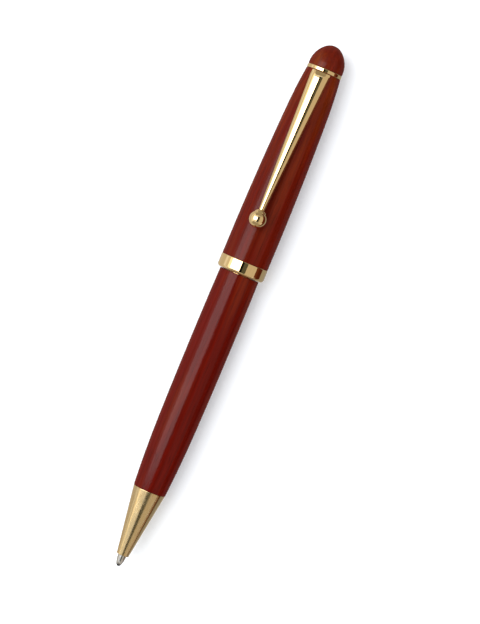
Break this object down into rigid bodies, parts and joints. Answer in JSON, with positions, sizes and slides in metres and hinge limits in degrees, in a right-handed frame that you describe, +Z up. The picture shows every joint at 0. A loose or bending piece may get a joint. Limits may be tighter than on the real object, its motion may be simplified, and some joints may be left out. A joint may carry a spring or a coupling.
{
  "type": "twist-action ballpoint pen",
  "caption": "Slim twist pen: turned wooden barrels either side of a wide centre band, conical nose, domed finial and a tapered clip ending in a ball.",
  "frame": {"origin": "under the middle of the pen's length, on the surface it lies on", "axes": "+X along the pen's axis from the point to the finial, +Z up, the side the clip is on"},
  "size_m": [0.1395, 0.0122, 0.0166],
  "materials": {
    "lacquered_wood": "red-brown rosewood under semi-gloss lacquer",
    "gold_plate": "polished gold plate",
    "bare_brass": "turned",
    "acetal": "natural white",
    "hard_steel": "ground",
    "refill_steel": "drawn",
    "nickel_silver": "turned",
    "ball_carbide": "polished, inked",
    "ink": "wet"
  },
  "bodies": {
    "upper_half": {"upper_barrel": "lacquered_wood", "upper_liner": "bare_brass", "center_band": "gold_plate", "clip_ring": "gold_plate", "finial": "lacquered_wood", "finial_stud": "bare_brass"},
    "clip": {"clip_arm": "gold_plate", "clip_ball": "gold_plate"},
    "drive_core": {"drive_tube": "bare_brass", "drive_head": "bare_brass"},
    "lower_half": {"nose_cone": "gold_plate", "lower_barrel": "lacquered_wood", "lower_liner": "bare_brass", "mechanism_case": "bare_brass", "cam_sleeve": "acetal", "front_thrust_washer": "acetal", "rear_thrust_washer": "acetal"},
    "refill_unit": {"refill_carrier": "bare_brass", "cam_pin": "hard_steel", "refill_tube": "refill_steel", "refill_tip": "nickel_silver", "refill_screw": "refill_steel", "ink_column": "ink"},
    "writing_ball": {"writing_ball": "ball_carbide"}
  },
  "joints": [
    {"name": "pull_apart", "type": "slide", "parent": "upper_half", "child": "drive_core", "axis": [-1, 0, 0], "range_m": [0, 0.045]},
    {"name": "twist", "type": "hinge", "parent": "drive_core", "child": "lower_half", "pos_m": [0.00805, 0, 0.0061], "axis": [-1, 0, 0], "range_deg": [0, 180]},
    {"name": "refill_feed", "type": "slide", "parent": "drive_core", "child": "refill_unit", "axis": [1, 0, 0], "range_m": [0, 0.005]},
    {"name": "ball_roll", "type": "hinge", "parent": "refill_unit", "child": "writing_ball", "pos_m": [-0.06925, 0, 0.0061], "axis": [0, 1, 0], "continuous": true},
    {"name": "clip_flex", "type": "hinge", "parent": "upper_half", "child": "clip", "pos_m": [0.06212, 0, 0.01025], "axis": [0, 1, 0], "range_deg": [0, 4], "stiffness_Nm_per_rad": 3}
  ],
  "couplings": [
    {"joint": "twist", "follows": "refill_feed", "rad_per_m": 628.32}
  ]
}
